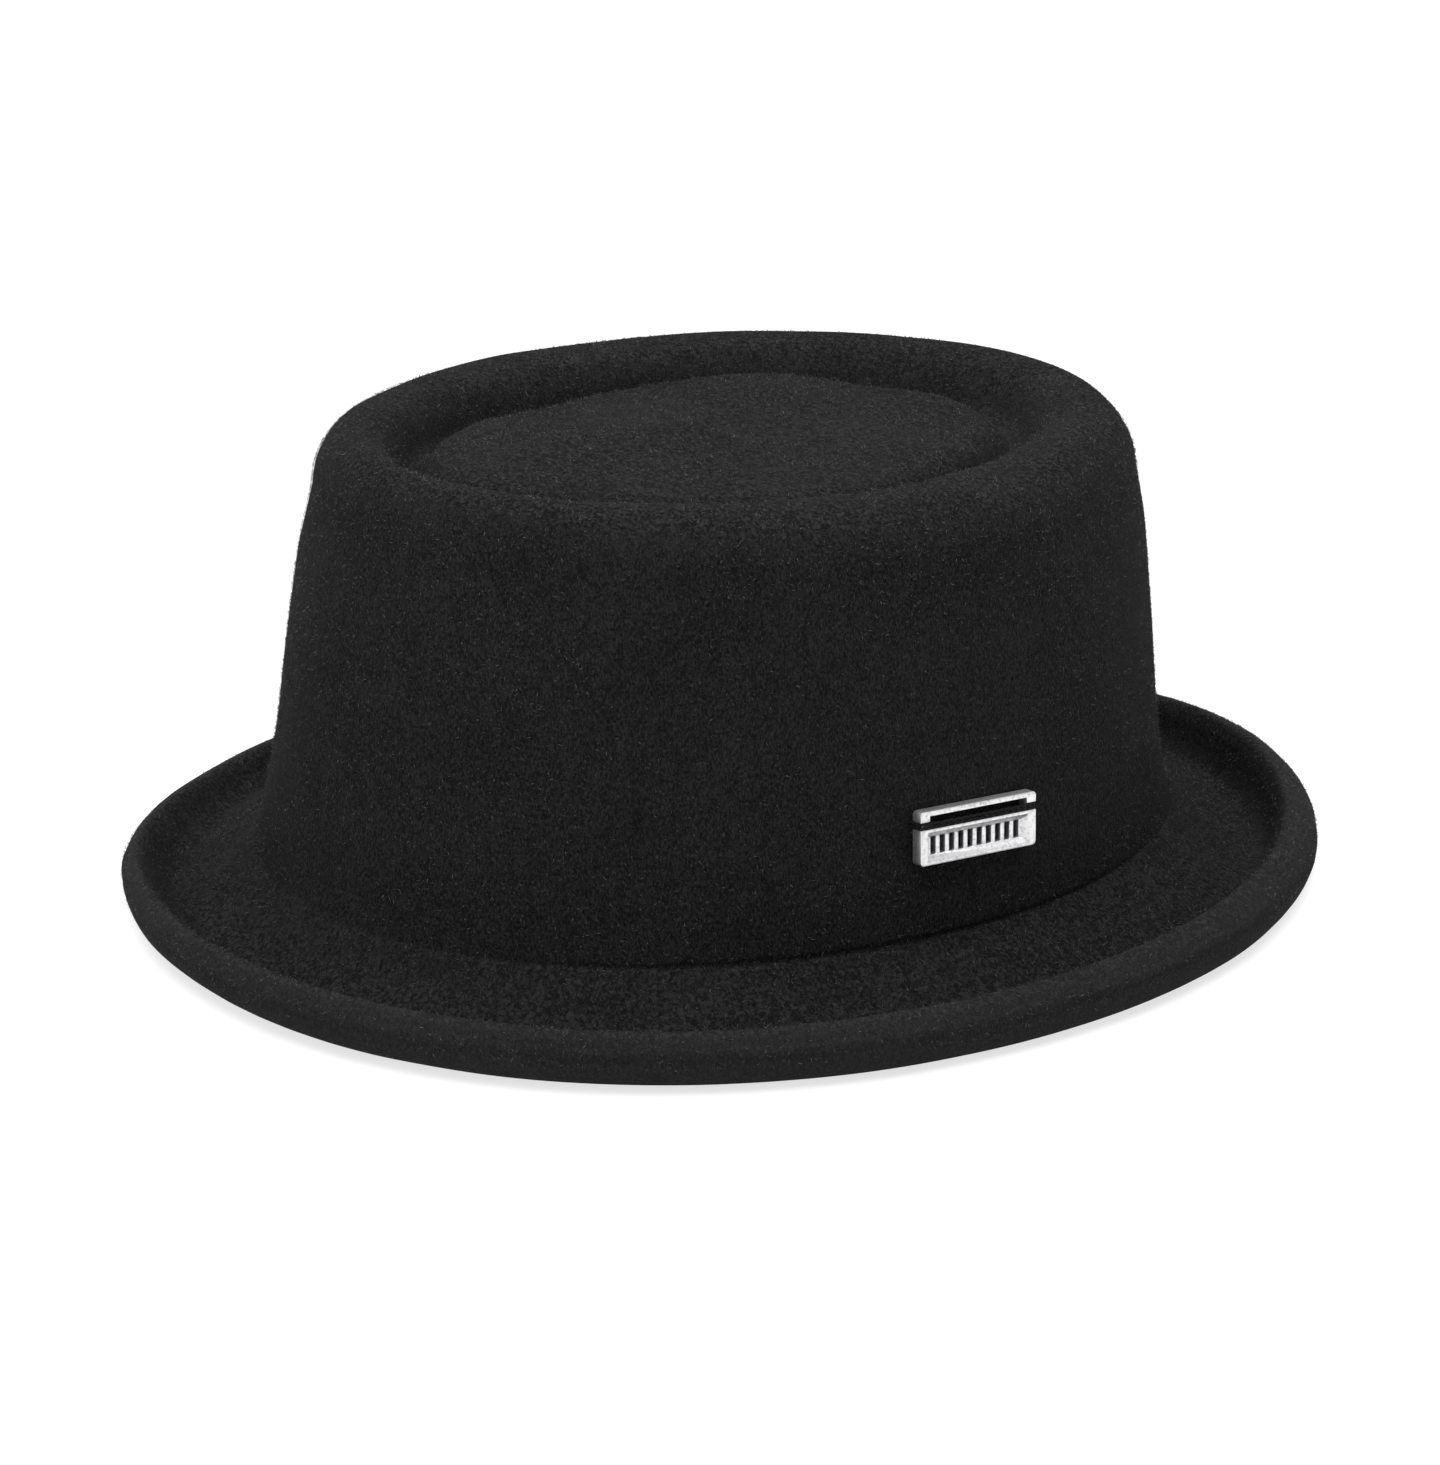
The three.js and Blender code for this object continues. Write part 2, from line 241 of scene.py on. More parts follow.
# Brim from the crease down to its trough: outset, and height as a share of the crease's height
SLOPE_ROWS = table("front side back height", [
    (0.14, 0.00, 0.12, 1.0),
    (0.165, 0.035, 0.145, 0.925),
    (0.22, 0.14, 0.20, 0.74),
    (0.32, 0.29, 0.31, 0.48),
    (0.45, 0.42, 0.43, 0.24),
    (0.57, 0.52, 0.53, 0.07),
])

# Upturned lip: outset, and height as a share of the lip's; rows with felt 1 start one wall up
LIP_ROWS = table("front side back height felt", [
    (0.59, 0.62, 0.62, 0.0, 1),
    (0.63, 0.68, 0.675, 0.06, 1),
    (0.68, 0.735, 0.72, 0.25, 1),
    (0.735, 0.775, 0.75, 0.52, 1),
    (0.80, 0.81, 0.78, 0.83, 1),
    (0.865, 0.85, 0.82, 1.0, 1),
    (0.90, 0.915, 0.905, 0.94, 0),
    (0.935, 0.97, 1.00, 0.77, 0),
    (0.94, 1.00, 1.06, 0.49, 0),
    (0.89, 0.97, 1.03, 0.23, 0),
    (0.78, 0.89, 0.95, 0.06, 0),
    (0.71, 0.82, 0.88, 0.0, 0),
    (0.58, 0.56, 0.56, 0.0, 0),
])

# Rows of the lip: where its worn, evened grain and its painted light begin inside the crest, its widest
# line, and where they end
WORN_AND_LIT_FROM_ROW = 4
WIDEST_ROW = 8
WORN_AND_LIT_TO_ROW = 10

# How many fine rings the worn grain and the painted light take to set in and to end
WEAR_AND_LIGHT_SETS_IN = 3
WEAR_AND_LIGHT_ENDS = 4

# Marks pressed in the felt: the line they follow, distance out from it along the surface, half width
# and rise in millimetres, then how strong the mark is at the front, the sides and the back, where a
# value below 0 lets it run out on the way. The wide one softens the crease at the back
PRESS_MARKS = table("line away half rise front side back", [
    ("crease", 0.0, 0.55, -0.65, 0.0, 1.0, -1.0),
    ("crease", 1.7, 0.9, 0.18, 0.0, 1.0, -1.0),
    ("crease", 0.0, 4.0, 1.2, 0.0, 0.0, 1.0),
    ("crease", 10.7, 0.5, -0.5, 0.0, 1.0, 0.0),
    ("crease", 12.2, 1.1, 0.14, 0.0, 1.0, 0.0),
    ("edge", -2.7, 0.8, 0.42, 0.8, 1.0, 0.8),
    ("edge", -1.3, 0.8, -0.42, 0.8, 1.0, 0.8),
])

# Soft humps and dents of the hand-blocked crown: place, reach and rise in millimetres
DENTS = table("x y z reach rise", [
    (-30, 30, 100, 23, 2.1),
    (-44, -18, 99, 14, -0.9),
    (-20, 57, 99, 14, -1.0),
])

# Slow waves of the hand-blocked felt, in millimetres, and the height in which they fade to the floor
WAVES = table("wave depth", [
    (26, 0.38),
    (7, 0.07),
])
WAVES_FROM_FLOOR = 3 * MM

# Distances between the fine rings, from the crown's large forms to the crease
COARSE_STEP = 2.6 * MM
MEDIUM_STEP = 1.5 * MM
CLOSE_STEP = 0.7 * MM
FINE_STEP = 0.3 * MM


def blend(row, s):
    """A row's front, side and back values blended round the head; s is the sine of the angle"""
    lean = (row["back"] - row["front"]) / 2
    bow = (row["back"] + row["front"]) / 2 - row["side"]
    return row["side"] + lean * s + bow * s * s


def mix(a, b, t):
    """From a to b by the share t"""
    return a + (b - a) * t


def middle(felt):
    """How far the head oval sits forward of the middle of the brim"""
    reach = {side: max(row[side] for row in LIP_ROWS) for side in ("front", "back")}
    return felt.brim_width * (reach["back"] - reach["front"]) / 2


def oval(felt, angles, out, z, power, reach=1.0):
    """A ring of points at height z: the head oval grown by out, then drawn in to a share of its reach"""
    c, s = np.cos(angles), np.sin(angles)
    x = (felt.head_width / 2 + out) * np.sign(c) * np.abs(c) ** (2 / power)
    y = (felt.head_length / 2 + out) * np.sign(s) * np.abs(s) ** (2 / power)
    return np.stack([reach * x, reach * y - middle(felt), z + 0 * c], axis=-1)


def taper(felt, height, s):
    """Inset of the crown's wall at a share of its height"""
    inset = {"front": felt.crown_taper + felt.crown_lean, "side": felt.crown_taper,
             "back": felt.crown_taper - felt.crown_lean}
    return height * blend(inset, s)


def wall_z(felt, height, s):
    """Height over the floor of a share of the crown's wall"""
    wall = felt.crown_height - felt.rim_drop
    rise = mix(blend(CREASE_RISE, s), blend(CROWN_RISE, s), height)
    return felt.crease_height + height * wall + rise


def rim_ring(felt, angles, row, lift=0.0, reach=1.0):
    """A ring of the pressed rim, or of the island inside it, which reaches in and is lifted"""
    s = np.sin(angles)
    out = -taper(felt, 1, s) - felt.rim_width * blend(row, s)
    z = felt.crease_height + felt.crown_height + blend(CROWN_RISE, s)
    return oval(felt, angles, out, z + felt.groove_depth * (lift - row["drop"]), CROWN_TOP_POWER, reach)


def shoulder_ring(felt, angles, degrees):
    """A ring of the rounded shoulder between the rim's crest and the wall"""
    s = np.sin(angles)
    turn = math.radians(degrees)
    inset = taper(felt, 1, s) + felt.rim_width * blend(RIM_ROWS[-1], s) * (1 - math.cos(turn))
    z = wall_z(felt, 1, s) + felt.rim_drop * math.sin(turn)
    return oval(felt, angles, -inset, z, CROWN_TOP_POWER)


def wall_ring(felt, angles, height, outset=0.0):
    """A ring of the crown's wall at a share of its height, set out where its foot flares"""
    s = np.sin(angles)
    # The swell is flat in the middle of the wall and falls off towards its top and its foot
    swell = blend(CROWN_BOW, s) * (1 - (2 * height - 1) ** 4)
    out = outset + swell - taper(felt, height, s)
    return oval(felt, angles, out, wall_z(felt, height, s), mix(HEAD_POWER, CROWN_TOP_POWER, height))


def slope_ring(felt, angles, row):
    """A ring of the brim between the crease and the trough"""
    s = np.sin(angles)
    z = felt.wall + row["height"] * (felt.crease_height + blend(CREASE_RISE, s) - felt.wall)
    power = mix(BRIM_POWER, HEAD_POWER, row["height"])
    return oval(felt, angles, felt.brim_width * blend(row, s), z, power)


def lip_ring(felt, angles, row):
    """A ring of the upturned lip, from the trough over the crest to the land under the trough"""
    s = np.sin(angles)
    foot = row["felt"] * felt.wall
    reach = np.clip(np.cos(angles - LIP_DIP_ANGLE) / LIP_DIP_SPREAD, 0, 1)
    dip = felt.lip_dip * reach * reach * (3 - 2 * reach)
    top = felt.lip_height - dip + blend(LIP_RISE, s) * min(1, 2 * row["height"])
    z = foot + row["height"] * (top - foot)
    return oval(felt, angles, felt.brim_width * blend(row, s), z, BRIM_POWER)


def section_rings(felt, angles):
    """The outer face's section rings from the island's middle out to the floor, and where the crease
    and the lip begin in them"""
    edge = RIM_ROWS[0]
    upper = [rim_ring(felt, np.zeros_like(angles), edge, ISLAND_MIDDLE_LIFT, 0)]
    upper += [rim_ring(felt, angles, edge, row["lift"], row["reach"]) for row in ISLAND_ROWS]
    upper += [rim_ring(felt, angles, row) for row in RIM_ROWS]
    upper += [shoulder_ring(felt, angles, turn) for turn in SHOULDER_TURNS]
    upper += [wall_ring(felt, angles, height) for height in WALL_SHARES]
    upper += [wall_ring(felt, angles, row["height"], felt.brim_width * blend(row, np.sin(angles)))
              for row in FLARE_ROWS]
    crease = len(upper)
    upper += [slope_ring(felt, angles, row) for row in SLOPE_ROWS]
    lip = [lip_ring(felt, angles, row) for row in LIP_ROWS]
    return np.array(upper + lip), crease, len(upper)


def smooth_rings(rings, steps):
    """Rings along smooth curves through the section rings, and where each section ring has gone"""
    spans = np.linalg.norm(np.diff(rings, axis=0), axis=2)[..., None]
    slopes = np.diff(rings, axis=0) / spans
    tangents = np.concatenate([slopes[:1], slopes])
    tangents[1:-1] = (spans[1:] * slopes[:-1] + spans[:-1] * slopes[1:]) / (spans[:-1] + spans[1:])
    fine, places = [], []
    for i, step in enumerate(steps):
        parts = max(1, round(float(spans[i].mean()) / step))
        places.append(len(fine))
        for t in np.arange(parts) / parts:
            place = (2 * t ** 3 - 3 * t ** 2 + 1) * rings[i] + (3 * t ** 2 - 2 * t ** 3) * rings[i + 1]
            pull = (t ** 3 - 2 * t ** 2 + t) * tangents[i] + (t ** 3 - t ** 2) * tangents[i + 1]
            fine.append(place + spans[i] * pull)
    places.append(len(fine))
    fine = np.array(fine + [rings[-1]])
    fine[..., 2] = np.maximum(fine[..., 2], 0)
    return fine, places


def ring_normals(rings):
    """Outward normals at the points of a grid of rings"""
    along = np.gradient(rings, axis=0)
    around = np.roll(rings, -1, axis=1) - np.roll(rings, 1, axis=1)
    normals = np.cross(along, around)
    normals[0] = 0, 0, 1
    return normals / np.linalg.norm(normals, axis=2, keepdims=True)


def press(rings, normals, lines, angles):
    """The crease and the fine lines pressed in the felt, each at its distance from a section ring"""
    arcs = np.cumsum(np.linalg.norm(np.diff(rings, axis=0, prepend=rings[:1]), axis=2), axis=0) / MM
    rise = np.zeros_like(arcs)
    for mark in PRESS_MARKS:
        away = arcs - arcs[lines[mark["line"]]] - mark["away"]
        strength = np.clip(blend(mark, np.sin(angles)), 0, 1)
        rise += mark["rise"] * MM * strength * np.exp(-(away / mark["half"]) ** 2)
    return rings + rise[..., None] * normals


def dent(rings):
    """Raises and sinks the crown's top in a few soft places"""
    rise = np.zeros(rings.shape[:2])
    for spot in DENTS:
        away = np.linalg.norm(rings / MM - [spot["x"], spot["y"], spot["z"]], axis=2)
        rise += spot["rise"] * MM * np.exp(-(away / spot["reach"]) ** 2)
    return rings + rise[..., None] * np.array([0, 0, 1])


def unevenness(rings, normals):
    """The slow waves of the felt, none where it rests on the floor"""
    for row in WAVES:
        size = row["wave"] * MM
        waves = np.array([[noise.noise(Vector(point) / size) for point in ring] for ring in rings])
        waves *= row["depth"] * MM * np.clip(rings[..., 2] / WAVES_FROM_FLOOR, 0, 1)
        rings = rings + waves[..., None] * normals
    return rings


def loft(name, rings, start=None, end=None):
    """A mesh through rings of equal count, closed by a point at each end that is given"""
    rows, columns = rings.shape[:2]
    grid = np.arange(rows * columns).reshape(rows, columns)
    beside = np.roll(grid, -1, axis=1)
    faces = np.stack([grid[:-1], grid[1:], beside[1:], beside[:-1]], axis=-1).reshape(-1, 4).tolist()
    points = rings.reshape(-1, 3).tolist()
    if start is not None:
        faces += [(len(points), a, b) for a, b in zip(grid[0].tolist(), beside[0].tolist())]
        points.append(start)
    if end is not None:
        faces += [(len(points), b, a) for a, b in zip(grid[-1].tolist(), beside[-1].tolist())]
        points.append(end)
    mesh = bpy.data.meshes.new(name)
    mesh.from_pydata(points, [], faces)
    mesh.shade_smooth()
    return mesh


def felt_face(felt):
    """The felt's outer face as fine rings with its normals, and the places of its main lines in them"""
    angles = np.arange(felt.columns) / felt.columns * 2 * math.pi
    rings, crease, lip = section_rings(felt, angles)
    rim = 1 + len(ISLAND_ROWS)
    wall = rim + len(RIM_ROWS) + len(SHOULDER_TURNS)
    edge = lip + WIDEST_ROW
    steps = [COARSE_STEP] * rim + [MEDIUM_STEP] * (wall - rim) + [COARSE_STEP] * (crease - 1 - wall)
    steps += [FINE_STEP] * 2 + [CLOSE_STEP] * (edge - crease)
    steps += [MEDIUM_STEP] * (len(rings) - 1 - len(steps))
    fine, places = smooth_rings(rings, steps)
    lines = {
        "shoulder": places[wall],
        "crease": places[crease],
        "lip": places[lip],
        "worn_and_lit_from": places[lip + WORN_AND_LIT_FROM_ROW],
        "edge": places[edge],
        "worn_and_lit_to": places[lip + WORN_AND_LIT_TO_ROW],
    }
    return dent(fine), ring_normals(fine), angles, lines


def add_node(tree, kind, settings=None, inputs=None):
    """Adds a node; inputs maps a socket's name or number to a value or to the output that feeds it"""
    node = tree.nodes.new(kind)
    for name, value in (settings or {}).items():
        setattr(node, name, value)
    for key, value in (inputs or {}).items():
        if isinstance(value, bpy.types.NodeSocket):
            tree.links.new(value, node.inputs[key])
        else:
            node.inputs[key].default_value = value
    return node


def new_material(name):
    """A material and its node tree, which is still empty"""
    material = bpy.data.materials.new(name)
    material.use_nodes = True
    material.node_tree.nodes.clear()
    return material, material.node_tree


def finish_material(tree, look):
    """Ends a material's tree with its surface, whose inputs are given, and its output"""
    surface = add_node(tree, "ShaderNodeBsdfPrincipled", inputs=look).outputs[0]
    add_node(tree, "ShaderNodeOutputMaterial", inputs={"Surface": surface})


# Share of the lip's worn, evened grain and of its painted light at each of the felt's points: 1 on the lip,
# 0 elsewhere
LIP_WEAR_AND_LIGHT = "lip_wear_and_light"

# Sizes of the felt's grain. Its tufts are about 0.3 mm; they are drawn coarser so that they show in
# the render, most of all on what faces up, which is seen at a low angle
FINE_TUFT = 0.45 * MM
COARSE_TUFT = 0.85 * MM
CLUMP = 3.2 * MM
CLOUD = 22 * MM


def black_wool_felt(felt):
    """Blocked wool felt: a dull mat of tangled fibres, mottled and brushed down the wall"""
    material, tree = new_material("black wool felt")
    place = add_node(tree, "ShaderNodeTexCoord").outputs["Object"]
    brushed = add_node(tree, "ShaderNodeMapping", inputs={
        "Vector": place, "Scale": (1, 1, 0.55)}).outputs[0]
    fine, coarse = (
        add_node(tree, "ShaderNodeTexNoise", inputs={
            "Vector": brushed, "Scale": 1 / tuft, "Detail": 2, "Roughness": 0.6,
            "Distortion": 0.8}).outputs[0]
        for tuft in (FINE_TUFT, COARSE_TUFT))
    normal = add_node(tree, "ShaderNodeNewGeometry").outputs["Normal"]
    facing = add_node(tree, "ShaderNodeSeparateXYZ", inputs={0: normal}).outputs["Z"]
    upward = add_node(tree, "ShaderNodeMapRange", inputs={
        "Value": facing, "From Min": 0.4, "From Max": 0.9}).outputs[0]
    # The fibres stand up more on top, so the coarse tufts differ more from each other
    raised = add_node(tree, "ShaderNodeMath", {"operation": "MULTIPLY_ADD"}, {
        0: coarse, 1: 1.3, 2: -0.155}).outputs[0]
    tufts = add_node(tree, "ShaderNodeMix", {"data_type": "FLOAT"}, {
        "Factor": upward, 2: fine, 3: raised}).outputs[0]
    clumps = add_node(tree, "ShaderNodeTexNoise", inputs={
        "Vector": brushed, "Scale": 1 / CLUMP, "Detail": 2, "Roughness": 0.5}).outputs[0]
    clouds = add_node(tree, "ShaderNodeTexNoise", inputs={
        "Vector": place, "Scale": 1 / CLOUD, "Detail": 1}).outputs[0]
    spread = add_node(tree, "ShaderNodeMapRange", inputs={
        "Value": tufts, "From Min": 0.38, "From Max": 0.66}).outputs[0]
    clumped = add_node(tree, "ShaderNodeMath", {"operation": "MULTIPLY_ADD"}, {
        0: clumps, 1: 0.5, 2: spread}).outputs[0]
    clouded = add_node(tree, "ShaderNodeMath", {"operation": "MULTIPLY_ADD"}, {
        0: clouds, 1: 0.35, 2: clumped}).outputs[0]
    tone = add_node(tree, "ShaderNodeMapRange", inputs={
        "Value": clouded, "From Min": 0.45, "From Max": 1.4}).outputs[0]
    # The lip is handled most, so its grain is worn a little more even; its colour is also painted paler, a
    # painted light for its upturned face
    wear_and_light = add_node(tree, "ShaderNodeAttribute", {"attribute_name": LIP_WEAR_AND_LIGHT}).outputs["Fac"]
    evened = add_node(tree, "ShaderNodeMath", {"operation": "MULTIPLY"}, {0: wear_and_light, 1: 0.4}).outputs[0]
    tone = add_node(tree, "ShaderNodeMix", {"data_type": "FLOAT"}, {
        "Factor": evened, 2: tone, 3: 0.55}).outputs[0]
    wool = add_node(tree, "ShaderNodeMix", {"data_type": "RGBA"}, {
        "Factor": tone, 6: felt.dark, 7: felt.light}).outputs[2]
    # Painted light: the lip's wool colour is scaled up to stand in for the light on its upturned face
    painted_light = add_node(tree, "ShaderNodeMapRange", inputs={
        "Value": wear_and_light, "To Min": 1.0, "To Max": felt.lip_painted_light}).outputs[0]
    wool = add_node(tree, "ShaderNodeVectorMath", {"operation": "SCALE"}, {
        0: wool, "Scale": painted_light}).outputs[0]
    relief = add_node(tree, "ShaderNodeBump", inputs={
        "Strength": 0.55, "Distance": 0.35 * MM, "Height": clumped}).outputs[0]
    finish_material(tree, {
        "Base Color": wool, "Roughness": 1.0, "Specular IOR Level": 0.06, "Normal": relief})
    return material


def loose_wool(nap):
    """Single wool fibres: most as dull as the mat, a few bright where they catch the light"""
    material, tree = new_material("loose wool fibres")
    own = add_node(tree, "ShaderNodeAttribute", {"attribute_name": FIBRE_TONE}).outputs["Fac"]
    tone = add_node(tree, "ShaderNodeMath", {"operation": "POWER"}, {0: own, 1: 4.0}).outputs[0]
    wool = add_node(tree, "ShaderNodeMix", {"data_type": "RGBA"}, {
        "Factor": tone, 6: nap.mat, 7: nap.glint}).outputs[2]
    finish_material(tree, {
        "Base Color": wool, "Roughness": 0.75, "Specular IOR Level": 0.15})
    return material


# The skin of a small casting waves and dulls in spots of about this size
CASTING_SPOT = 1.0 * MM


def plated_casting(badge):
    """Bright nickel plating over a zinc casting: clear reflections, a little soft and uneven"""
    material, tree = new_material("bright nickel plated zinc")
    place = add_node(tree, "ShaderNodeTexCoord").outputs["Object"]
    skin = add_node(tree, "ShaderNodeTexNoise", inputs={
        "Vector": place, "Scale": 1 / CASTING_SPOT, "Detail": 4, "Roughness": 0.6}).outputs[0]
    relief = add_node(tree, "ShaderNodeBump", inputs={
        "Strength": 0.12, "Distance": 0.05 * MM, "Height": skin}).outputs[0]
    polish = add_node(tree, "ShaderNodeMapRange", inputs={
        "Value": skin, "From Min": 0.3, "From Max": 0.7, "To Min": 0.34, "To Max": 0.48}).outputs[0]
    dull = add_node(tree, "ShaderNodeMapRange", inputs={
        "Value": skin, "From Min": 0.5, "From Max": 0.68}).outputs[0]
    plating = add_node(tree, "ShaderNodeMix", {"data_type": "RGBA"}, {
        "Factor": dull, 6: badge.metal, 7: badge.tarnish}).outputs[2]
    finish_material(tree, {
        "Base Color": plating, "Metallic": 1, "Roughness": polish, "Normal": relief})
    return material


# Filaments are a few hundredths of a millimetre, and drawn this coarse so that they show
FILAMENT = 0.2 * MM


def twisted_thread(cord):
    """Black waxed thread: fine filaments, nearly matt"""
    material, tree = new_material("black twisted thread")
    place = add_node(tree, "ShaderNodeTexCoord").outputs["Object"]
    filaments = add_node(tree, "ShaderNodeTexNoise", inputs={
        "Vector": place, "Scale": 1 / FILAMENT, "Detail": 2}).outputs[0]
    relief = add_node(tree, "ShaderNodeBump", inputs={
        "Strength": 0.5, "Distance": 0.05 * MM, "Height": filaments}).outputs[0]
    thread = add_node(tree, "ShaderNodeMix", {"data_type": "RGBA"}, {
        "Factor": filaments, 6: cord.shade, 7: cord.cord}).outputs[2]
    finish_material(tree, {
        "Base Color": thread, "Roughness": 0.75, "Specular IOR Level": 0.2, "Normal": relief})
    return material


def add_piece(name, mesh, material, slot, *replaced):
    """Puts a finished mesh in the scene as a piece that rides on the hat and replaces the CAD nodes"""
    if not mesh.materials:
        mesh.materials.append(material)
    piece = bpy.data.objects.new(name, mesh)
    bpy.context.scene.collection.objects.link(piece)
    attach(piece, "root")
    for node in replaced:
        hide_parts(node)
    return piece


def evaluated_mesh(obj):
    """The plain mesh that an object's modifiers give; the object itself is removed"""
    bpy.context.view_layer.update()
    found = obj.evaluated_get(bpy.context.evaluated_depsgraph_get())
    mesh = bpy.data.meshes.new_from_object(found)
    bpy.data.objects.remove(obj)
    return mesh


def helper_object(name, data):
    """An object that only lends its shape to a modifier"""
    obj = bpy.data.objects.new(name, data)
    bpy.context.scene.collection.objects.link(obj)
    return obj


def geometry_tree(name, sockets):
    """A geometry node tree without nodes, and the named values that it is given"""
    tree = bpy.data.node_groups.new(name, "GeometryNodeTree")
    tree.interface.new_socket("Geometry", in_out="INPUT", socket_type="NodeSocketGeometry")
    for label, kind in sockets:
        tree.interface.new_socket(label, in_out="INPUT", socket_type="NodeSocket" + kind)
    tree.interface.new_socket("Geometry", in_out="OUTPUT", socket_type="NodeSocketGeometry")
    return tree, tree.nodes.new("NodeGroupInput").outputs


def close_tree(tree, geometry, material):
    """Realizes the instances, sets the material and ends the tree"""
    real = add_node(tree, "GeometryNodeRealizeInstances", inputs={0: geometry}).outputs[0]
    painted = add_node(tree, "GeometryNodeSetMaterial", inputs={
        "Geometry": real, "Material": material}).outputs[0]
    add_node(tree, "NodeGroupOutput", inputs={0: painted})


def run_tree(obj, tree, values):
    """The mesh that a geometry node tree makes from an object, with its inputs set by identifier"""
    modifier = obj.modifiers.new(tree.name, "NODES")
    modifier.node_group = tree
    given = [item for item in tree.interface.items_tree if item.in_out == "INPUT"]
    sockets = {item.name: item.identifier for item in given}
    for label, value in values.items():
        modifier[sockets[label]] = value
    return evaluated_mesh(obj)


# Each fibre's own number between 0 and 1, which gives it its tone
FIBRE_TONE = "fibre_tone"
FIBRE_TONE_SEED = 3

# How far the fibres lean off the felt's normal, and the shortest as a share of the longest
LEAST_LEAN = math.radians(28)
MOST_LEAN = math.radians(80)
SHORTEST_FIBRE = 0.45


def nap_tree():
    """Fibres strewn over a face: thin spikes that lie close to it"""
    tree, given = geometry_tree("Nap", [
        ("Density", "Float"), ("Length", "Float"), ("Radius", "Float"), ("Seed", "Int"),
        ("Material", "Material")])
    spread = add_node(tree, "GeometryNodeDistributePointsOnFaces", {"distribute_method": "RANDOM"}, {
        "Mesh": given["Geometry"], "Density": given["Density"], "Seed": given["Seed"]})
    spike = add_node(tree, "GeometryNodeMeshCone", {"fill_type": "NGON"}, {
        "Vertices": 3, "Side Segments": 1, "Radius Top": 0.0, "Radius Bottom": given["Radius"],
        "Depth": given["Length"]}).outputs["Mesh"]
    lean = add_node(tree, "FunctionNodeRandomValue", {"data_type": "FLOAT_VECTOR"}, {
        0: (LEAST_LEAN, 0, 0), 1: (MOST_LEAN, 0, 2 * math.pi), "Seed": given["Seed"]}).outputs[0]
    turn = add_node(tree, "FunctionNodeEulerToRotation", inputs={0: lean}).outputs[0]
    lie = add_node(tree, "FunctionNodeRotateRotation", {"rotation_space": "LOCAL"}, {
        0: spread.outputs["Rotation"], 1: turn}).outputs[0]
    scale = add_node(tree, "FunctionNodeRandomValue", {"data_type": "FLOAT"}, {
        2: SHORTEST_FIBRE, 3: 1.0, "Seed": given["Seed"]}).outputs[1]
    fibres = add_node(tree, "GeometryNodeInstanceOnPoints", inputs={
        "Points": spread.outputs["Points"], "Instance": spike, "Rotation": lie, "Scale": scale}).outputs[0]
    tone = add_node(tree, "FunctionNodeRandomValue", {"data_type": "FLOAT"}, {
        "Seed": FIBRE_TONE_SEED}).outputs[1]
    toned = add_node(tree, "GeometryNodeStoreNamedAttribute", {
        "data_type": "FLOAT", "domain": "INSTANCE"}, {
        "Geometry": fibres, "Name": FIBRE_TONE, "Value": tone}).outputs[0]
    close_tree(tree, toned, given["Material"])
    return tree


def slot_tree():
    """A row of equal boxes along X, which pierce the badge"""
    tree, given = geometry_tree("Slots", [
        ("Count", "Int"), ("Pitch", "Float"), ("Start", "Vector"), ("Size", "Vector"),
        ("Material", "Material")])
    step = add_node(tree, "ShaderNodeCombineXYZ", inputs={"X": given["Pitch"]}).outputs[0]
    row = add_node(tree, "GeometryNodeMeshLine", {"mode": "OFFSET"}, {
        "Count": given["Count"], "Start Location": given["Start"], "Offset": step}).outputs[0]
    box = add_node(tree, "GeometryNodeMeshCube", inputs={"Size": given["Size"]}).outputs["Mesh"]
    boxes = add_node(tree, "GeometryNodeInstanceOnPoints", inputs={
        "Points": row, "Instance": box}).outputs[0]
    close_tree(tree, boxes, given["Material"])
    return tree


# Points along the cord, and sides of a strand
CORD_POINTS = 420
STRAND_SIDES = 8


